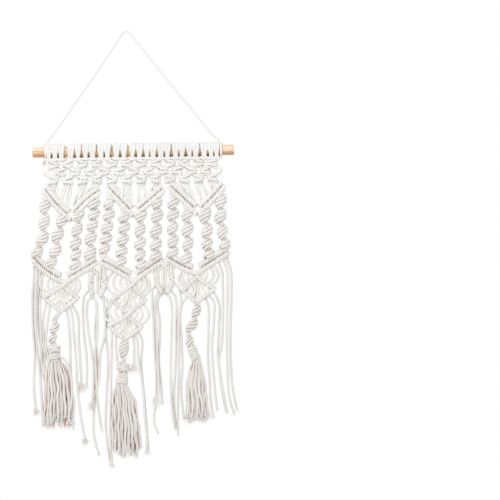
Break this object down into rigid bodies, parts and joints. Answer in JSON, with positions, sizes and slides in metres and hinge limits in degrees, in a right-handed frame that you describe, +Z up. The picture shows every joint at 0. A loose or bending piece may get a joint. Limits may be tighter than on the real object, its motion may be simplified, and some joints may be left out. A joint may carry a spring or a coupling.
{
  "type": "macrame wall hanging on a wooden dowel",
  "caption": "Small knotted cotton wall hanging with spiral braids, diamonds, loose fringe and tassels, worked on a plain wooden dowel and hung by one cord",
  "frame": {"origin": "where the hanging cord rests on the nail that holds the hanging up", "axes": "+Z up, +X to the right as seen from the front, the front faces -Y"},
  "size_m": [0.2601, 0.0271, 0.5461],
  "materials": {
    "cotton": "matt, fibrous",
    "pale_wood": "raw, sanded"
  },
  "bodies": {
    "root": {"dowel": "pale_wood", "larks_heads": "cotton", "macrame_panel": "cotton", "hanger_tie_left": "cotton", "hanger_tie_right": "cotton", "hanger_cord": "cotton", "fringe_left": "cotton", "fringe_left_bar": "cotton", "fringe_left_middle": "cotton", "fringe_middle_left": "cotton", "fringe_middle": "cotton", "fringe_middle_right": "cotton", "fringe_right_middle": "cotton", "fringe_right_bar": "cotton", "fringe_right": "cotton", "fringe_right_edge": "cotton", "tassel_left": "cotton", "tassel_middle": "cotton", "tassel_right": "cotton"}
  },
  "joints": []
}
